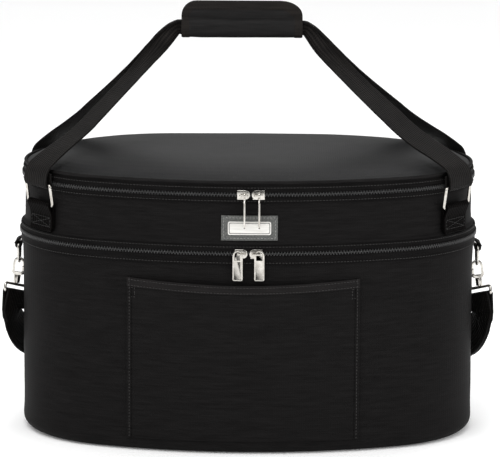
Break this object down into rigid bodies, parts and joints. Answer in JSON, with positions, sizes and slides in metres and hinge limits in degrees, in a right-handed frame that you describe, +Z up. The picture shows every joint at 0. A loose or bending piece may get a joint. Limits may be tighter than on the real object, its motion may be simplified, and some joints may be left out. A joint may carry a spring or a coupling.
{
  "type": "insulated slow cooker carrier bag",
  "caption": "Oval padded carrier for a slow cooker: zip-round body and lid compartment, wrapped grip handles, pocket and clip-on shoulder strap.",
  "frame": {"origin": "centre of the oval body on the plane it stands on", "axes": "+X to the right across the long side, +Y from the front with the pocket to the back, +Z up"},
  "size_m": [0.4938, 0.2992, 0.428],
  "materials": {
    "cloth": "black woven polyester, faint weave",
    "lid_cloth": "black woven polyester stretched over padding",
    "strap_webbing": "black ribbed webbing",
    "lining_cloth": "dark grey coated lining, guessed",
    "foam": "grey closed-cell foam, hidden",
    "board": "stiff plastic board, hidden",
    "chrome": "bright nickel plating",
    "patch_leather": "grey grained imitation leather",
    "plate_metal": "brushed plate, bare"
  },
  "bodies": {
    "base": {"lower_shell": "cloth", "bottom_panel": "cloth", "base_board": "board", "lower_foam": "foam", "lower_lining": "lining_cloth", "main_zip_lower_tape": "cloth", "main_hinge_lower_flap": "cloth", "pocket_panel": "cloth", "pocket_hem": "cloth", "side_tab_left": "strap_webbing", "side_tab_right": "strap_webbing", "d_ring_left": "chrome", "d_ring_right": "chrome"},
    "upper_section": {"main_zip_upper_tape": "cloth", "main_hinge_upper_flap": "cloth", "upper_shell": "cloth", "divider_underside": "lining_cloth", "divider_foam": "foam", "upper_foam": "foam", "upper_lining": "lining_cloth", "top_zip_lower_tape": "cloth", "lid_hinge_lower_flap": "cloth", "label_patch": "patch_leather", "label_plate": "plate_metal", "front_left_anchor": "strap_webbing", "front_right_anchor": "strap_webbing", "back_left_anchor": "strap_webbing", "back_right_anchor": "strap_webbing"},
    "lid": {"top_zip_upper_tape": "cloth", "lid_hinge_upper_flap": "cloth", "lid_band": "cloth", "lid_piping": "cloth", "lid_top": "lid_cloth", "lid_foam": "foam", "lid_lining": "lining_cloth"},
    "front_handle": {"front_handle_strap": "strap_webbing", "grip_wrap": "cloth"},
    "back_handle": {"back_handle_strap": "strap_webbing"},
    "grip_leaf": {"grip_leaf": "cloth"},
    "front_left_ring": {"front_left_ring": "chrome"},
    "front_right_ring": {"front_right_ring": "chrome"},
    "back_left_ring": {"back_left_ring": "chrome"},
    "back_right_ring": {"back_right_ring": "chrome"},
    "main_slider_left": {"main_slider_left": "chrome"},
    "main_pull_left": {"main_pull_left": "chrome"},
    "main_slider_right": {"main_slider_right": "chrome"},
    "main_pull_right": {"main_pull_right": "chrome"},
    "top_slider_left": {"top_slider_left": "chrome"},
    "top_pull_left": {"top_pull_left": "chrome"},
    "top_slider_right": {"top_slider_right": "chrome"},
    "top_pull_right": {"top_pull_right": "chrome"},
    "shoulder_strap": {"shoulder_strap": "strap_webbing", "strap_adjuster": "chrome", "strap_eye_left": "chrome", "strap_eye_right": "chrome"},
    "snap_hook_left": {"snap_hook_left": "chrome"},
    "hook_gate_left": {"hook_gate_left": "chrome"},
    "snap_hook_right": {"snap_hook_right": "chrome"},
    "hook_gate_right": {"hook_gate_right": "chrome"}
  },
  "joints": [
    {"name": "upper_open", "type": "hinge", "parent": "base", "child": "upper_section", "pos_m": [0, 0.142, 0.2], "axis": [-1, 0, 0], "range_deg": [0, 95]},
    {"name": "lid_open", "type": "hinge", "parent": "upper_section", "child": "lid", "pos_m": [0, 0.1395, 0.2575], "axis": [-1, 0, 0], "range_deg": [0, 95]},
    {"name": "front_handle_fold", "type": "hinge", "parent": "upper_section", "child": "front_handle", "pos_m": [0, -0.072, 0.2565], "axis": [1, 0, 0], "range_deg": [0, 133], "deforming": ["front_handle_strap"]},
    {"name": "back_handle_fold", "type": "hinge", "parent": "upper_section", "child": "back_handle", "pos_m": [0, 0.072, 0.2565], "axis": [-1, 0, 0], "range_deg": [0, 110], "deforming": ["back_handle_strap"]},
    {"name": "grip_leaf_open", "type": "hinge", "parent": "front_handle", "child": "grip_leaf", "pos_m": [-0.0073, 0.00825, 0.40565], "axis": [-1, 0, 0], "range_deg": [0, 150]},
    {"name": "front_left_ring_turn", "type": "hinge", "parent": "upper_section", "child": "front_left_ring", "pos_m": [-0.2036, -0.07018, 0.2355], "axis": [0.5878, -0.809, 0], "range_deg": [0, 20]},
    {"name": "front_right_ring_turn", "type": "hinge", "parent": "upper_section", "child": "front_right_ring", "pos_m": [0.2036, -0.07018, 0.2355], "axis": [0.5878, 0.809, 0], "range_deg": [0, 20]},
    {"name": "back_left_ring_turn", "type": "hinge", "parent": "upper_section", "child": "back_left_ring", "pos_m": [-0.2036, 0.07018, 0.2355], "axis": [-0.5878, -0.809, 0], "range_deg": [0, 20]},
    {"name": "back_right_ring_turn", "type": "hinge", "parent": "upper_section", "child": "back_right_ring", "pos_m": [0.2036, 0.07018, 0.2355], "axis": [-0.5878, 0.809, 0], "range_deg": [0, 20]},
    {"name": "main_slider_left_run", "type": "hinge", "parent": "base", "child": "main_slider_left", "pos_m": [0, 0.24921, 0.2], "axis": [0, 0, 1], "range_deg": [-20.5, 0]},
    {"name": "main_pull_left_swing", "type": "hinge", "parent": "main_slider_left", "child": "main_pull_left", "pos_m": [-0.00969, -0.14535, 0.2], "axis": [0.0159, 0.9999, 0], "range_deg": [-8, 90]},
    {"name": "main_slider_right_run", "type": "hinge", "parent": "base", "child": "main_slider_right", "pos_m": [0, 0.24921, 0.2], "axis": [0, 0, 1], "range_deg": [0, 20.5]},
    {"name": "main_pull_right_swing", "type": "hinge", "parent": "main_slider_right", "child": "main_pull_right", "pos_m": [0.01131, -0.1453, 0.2], "axis": [0.02, -0.9998, 0], "range_deg": [-8, 90]},
    {"name": "top_slider_left_run", "type": "hinge", "parent": "upper_section", "child": "top_slider_left", "pos_m": [0, 0.24921, 0.2575], "axis": [0, 0, 1], "range_deg": [-20.5, 0]},
    {"name": "top_pull_left_swing", "type": "hinge", "parent": "top_slider_left", "child": "top_pull_left", "pos_m": [-0.00325, -0.14499, 0.2575], "axis": [-0.9999, 0.0108, 0], "range_deg": [0, 100]},
    {"name": "top_slider_right_run", "type": "hinge", "parent": "upper_section", "child": "top_slider_right", "pos_m": [0, 0.24921, 0.2575], "axis": [0, 0, 1], "range_deg": [0, 20.5]},
    {"name": "top_pull_right_swing", "type": "hinge", "parent": "top_slider_right", "child": "top_pull_right", "pos_m": [0.01093, -0.14485, 0.2575], "axis": [-0.9997, -0.0252, 0], "range_deg": [0, 100]},
    {"name": "shoulder_strap_lift", "type": "hinge", "parent": "base", "child": "shoulder_strap", "pos_m": [0, 0.02171, 0.174], "axis": [-1, 0, 0], "range_deg": [-75, 0]},
    {"name": "snap_hook_left_swivel", "type": "hinge", "parent": "shoulder_strap", "child": "snap_hook_left", "pos_m": [-0.2301, 0.02171, 0.16], "axis": [-0.1392, 0, -0.9903], "range_deg": [-20, 20]},
    {"name": "hook_gate_left_press", "type": "hinge", "parent": "snap_hook_left", "child": "hook_gate_left", "pos_m": [-0.22697, 0.02171, 0.14815], "axis": [0, -1, 0], "range_deg": [0, 35], "stiffness_Nm_per_rad": 0.02, "springref_deg": -8.59},
    {"name": "snap_hook_right_swivel", "type": "hinge", "parent": "shoulder_strap", "child": "snap_hook_right", "pos_m": [0.2301, 0.02171, 0.16], "axis": [0.1392, 0, -0.9903], "range_deg": [-20, 20]},
    {"name": "hook_gate_right_press", "type": "hinge", "parent": "snap_hook_right", "child": "hook_gate_right", "pos_m": [0.22697, 0.02171, 0.14815], "axis": [0, 1, 0], "range_deg": [0, 35], "stiffness_Nm_per_rad": 0.02, "springref_deg": -8.59}
  ],
  "couplings": [
    {"joint": "front_handle_fold", "follows": "lid_open", "ratio": 1.4},
    {"joint": "back_handle_fold", "follows": "lid_open", "ratio": 1.15},
    {"joint": "grip_leaf_open", "follows": "lid_open", "ratio": 1.5},
    {"joint": "front_left_ring_turn", "follows": "lid_open", "ratio": 0.2},
    {"joint": "front_right_ring_turn", "follows": "lid_open", "ratio": 0.2},
    {"joint": "back_left_ring_turn", "follows": "lid_open", "ratio": 0.2},
    {"joint": "back_right_ring_turn", "follows": "lid_open", "ratio": 0.2}
  ]
}
